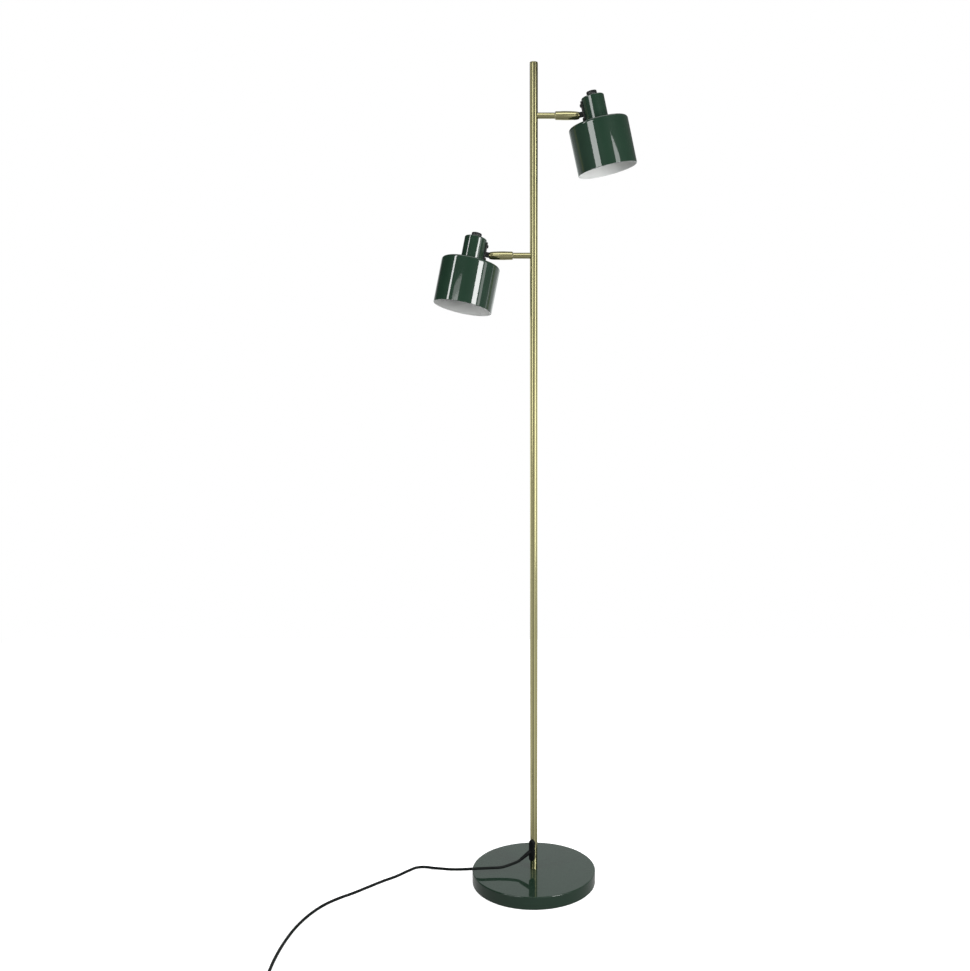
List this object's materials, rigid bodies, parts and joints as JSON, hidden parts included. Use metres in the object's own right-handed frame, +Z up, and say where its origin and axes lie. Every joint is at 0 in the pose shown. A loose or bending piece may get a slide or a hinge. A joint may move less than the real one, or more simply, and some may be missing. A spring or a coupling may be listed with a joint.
{
  "type": "adjustable arm floor lamp",
  "caption": "Slim floor lamp: round weighted base, pole, and spot heads on short side arms that swivel and tilt, each with a rotary switch, a bulb and an open shade; mains lead with plug.",
  "frame": {"origin": "on the floor, at the middle of the round base, under the pole", "axes": "+Z up along the pole; +X along the upper arm; -Y is the front, the side the lead's gland faces"},
  "size_m": [0.6182, 0.5648, 1.5],
  "materials": {
    "green_lacquer": "dark green gloss lacquer",
    "satin_brass": "satin brass, light olive tone",
    "black_steel": "black satin",
    "black_plastic": "black, soft gloss",
    "black_rubber": "black, matte",
    "zinc_steel": "zinc plated",
    "cast_iron": "raw casting",
    "opal_glass": "opal white"
  },
  "bodies": {
    "stand": {"base_cover": "green_lacquer", "base_weight": "cast_iron", "floor_pad": "black_rubber", "fixing_washer": "zinc_steel", "fixing_nut": "zinc_steel", "threaded_stub": "zinc_steel", "pole": "satin_brass", "pole_foot_plug": "zinc_steel", "pole_top_cap": "satin_brass", "cable_gland": "black_rubber", "strain_relief": "black_rubber", "power_cord": "black_rubber", "cord_coil": "black_rubber", "cord_tie": "black_plastic", "plug_body": "black_rubber", "plug_pin_left": "zinc_steel", "plug_pin_right": "zinc_steel", "upper_arm_insert": "satin_brass", "upper_arm_nipple": "zinc_steel", "upper_arm_rod": "satin_brass", "upper_swivel_washer": "satin_brass", "lower_arm_insert": "satin_brass", "lower_arm_nipple": "zinc_steel", "lower_arm_rod": "satin_brass", "lower_swivel_washer": "satin_brass"},
    "upper_barrel": {"upper_swivel_barrel": "satin_brass", "upper_swivel_grub_screw": "black_steel", "upper_pivot_screw": "satin_brass", "upper_pivot_nut": "satin_brass"},
    "upper_head": {"upper_head_bracket": "black_steel", "upper_backing_strip": "zinc_steel", "upper_bracket_screw_top": "black_steel", "upper_bracket_screw_bottom": "black_steel", "upper_socket_cup": "green_lacquer", "upper_shade": "green_lacquer", "upper_shade_ring": "black_plastic", "upper_lampholder": "black_plastic", "upper_bulb_cap": "zinc_steel", "upper_bulb_glass": "opal_glass", "upper_switch_body": "black_plastic"},
    "upper_knob": {"upper_switch_knob": "black_plastic"},
    "lower_barrel": {"lower_swivel_barrel": "satin_brass", "lower_swivel_grub_screw": "black_steel", "lower_pivot_screw": "satin_brass", "lower_pivot_nut": "satin_brass"},
    "lower_head": {"lower_head_bracket": "black_steel", "lower_backing_strip": "zinc_steel", "lower_bracket_screw_top": "black_steel", "lower_bracket_screw_bottom": "black_steel", "lower_socket_cup": "green_lacquer", "lower_shade": "green_lacquer", "lower_shade_ring": "black_plastic", "lower_lampholder": "black_plastic", "lower_bulb_cap": "zinc_steel", "lower_bulb_glass": "opal_glass", "lower_switch_body": "black_plastic"},
    "lower_knob": {"lower_switch_knob": "black_plastic"}
  },
  "joints": [
    {"name": "upper_swivel", "type": "hinge", "parent": "stand", "child": "upper_barrel", "pos_m": [0.045, 0, 1.412], "axis": [1, 0, 0], "range_deg": [-169.2, 170.8]},
    {"name": "upper_tilt", "type": "hinge", "parent": "upper_barrel", "child": "upper_head", "pos_m": [0.0745, 0, 1.412], "axis": [0, 0.9999, -0.014], "range_deg": [-77.1, 32.9]},
    {"name": "upper_switch", "type": "hinge", "parent": "upper_head", "child": "upper_knob", "pos_m": [0.10075, 0.00044, 1.44386], "axis": [-0.2233, 0.0136, 0.9747], "continuous": true},
    {"name": "lower_swivel", "type": "hinge", "parent": "stand", "child": "lower_barrel", "pos_m": [-0.045, 0, 1.178], "axis": [-1, 0, 0], "range_deg": [-179.1, 160.9]},
    {"name": "lower_tilt", "type": "hinge", "parent": "lower_barrel", "child": "lower_head", "pos_m": [-0.0745, 0, 1.178], "axis": [0, -0.9874, 0.1582], "range_deg": [-78.9, 31.1]},
    {"name": "lower_switch", "type": "hinge", "parent": "lower_head", "child": "lower_knob", "pos_m": [-0.10174, 0.00491, 1.20863], "axis": [0.1925, 0.1552, 0.9689], "continuous": true}
  ]
}
